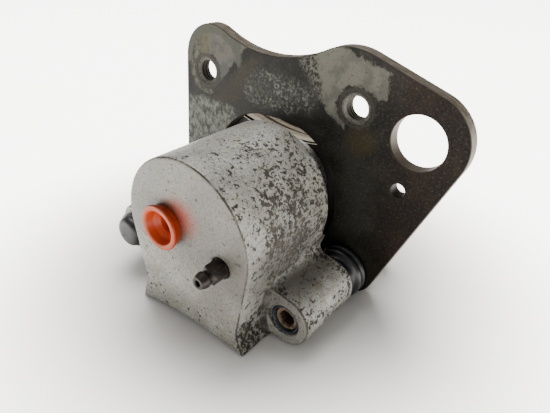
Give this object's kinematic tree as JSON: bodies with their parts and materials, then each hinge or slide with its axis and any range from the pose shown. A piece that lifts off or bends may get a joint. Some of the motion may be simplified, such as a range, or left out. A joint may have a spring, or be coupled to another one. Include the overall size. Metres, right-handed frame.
{
  "type": "brake caliper",
  "caption": "Floating disc brake caliper: painted alloy barrel and bridge sliding on pins in a flat steel mounting bracket, with pads, piston, bleeder and plugged inlet.",
  "frame": {"origin": "midway between the axes of the two threaded bolt holes, on the bracket's bolting face", "axes": "+X from the plain lobe towards the big hole, +Y from the bolting face towards the disc side, +Z from the pins towards the bolt holes"},
  "size_m": [0.1239, 0.1007, 0.0935],
  "materials": {
    "bracket_steel": "worn, oiled and rusted plate",
    "pin_steel": "lightly rusted",
    "boot_rubber": "soft black",
    "painted_aluminium": "chipped silver-white paint on cast alloy",
    "seal_rubber": "black",
    "bush_rubber": "black",
    "cap_rubber": "dark grey",
    "bleeder_steel": "dark brown rusted",
    "plug_plastic": "soft orange moulding",
    "spring_steel": "bright",
    "piston_steel": "ground",
    "shim_steel": "dull sheet",
    "insulator_black": "matt black",
    "backing_steel": "dull",
    "friction_lining": "grainy compound"
  },
  "bodies": {
    "bracket": {"bracket_plate": "bracket_steel", "left_slide_pin": "pin_steel", "right_slide_pin": "pin_steel", "left_pin_boot": "boot_rubber", "right_pin_boot": "boot_rubber"},
    "caliper": {"caliper_body": "painted_aluminium", "piston_seal": "seal_rubber", "dust_seal": "seal_rubber", "left_guide_bush": "bush_rubber", "right_guide_bush": "bush_rubber", "pad_spring": "spring_steel"},
    "piston": {"piston": "piston_steel"},
    "inboard_pad": {"inboard_shim": "shim_steel", "inboard_insulator": "insulator_black", "inboard_backing": "backing_steel", "inboard_friction": "friction_lining"},
    "outboard_pad": {"outboard_friction": "friction_lining", "outboard_backing": "backing_steel", "outboard_shim": "shim_steel"},
    "bleeder": {"bleeder_screw": "bleeder_steel"},
    "plug": {"port_plug": "plug_plastic"},
    "pin_cap": {"left_pin_cap": "cap_rubber"}
  },
  "joints": [
    {"name": "caliper_slide", "type": "slide", "parent": "bracket", "child": "caliper", "axis": [0, -1, 0], "range_m": [0, 0.00215], "deforming": ["left_pin_boot", "right_pin_boot"]},
    {"name": "piston_slide", "type": "slide", "parent": "caliper", "child": "piston", "axis": [0, 1, 0], "range_m": [0, 0.0043]},
    {"name": "inboard_pad_slide", "type": "slide", "parent": "bracket", "child": "inboard_pad", "axis": [0, 1, 0], "range_m": [0, 0.00215]},
    {"name": "outboard_pad_slide", "type": "slide", "parent": "bracket", "child": "outboard_pad", "axis": [0, -1, 0], "range_m": [0, 0.00215]},
    {"name": "bleeder_turn", "type": "hinge", "parent": "caliper", "child": "bleeder", "pos_m": [0.0222, -0.0541, -0.0409], "axis": [0, -1, 0], "range_deg": [0, 270]},
    {"name": "plug_pull", "type": "slide", "parent": "caliper", "child": "plug", "axis": [0, -1, 0], "range_m": [0, 0.012]},
    {"name": "cap_pull", "type": "slide", "parent": "caliper", "child": "pin_cap", "axis": [0, -1, 0], "range_m": [0, 0.006]}
  ],
  "couplings": [
    {"joint": "piston_slide", "follows": "caliper_slide", "ratio": 2},
    {"joint": "inboard_pad_slide", "follows": "caliper_slide", "ratio": 1},
    {"joint": "outboard_pad_slide", "follows": "caliper_slide", "ratio": 1}
  ]
}
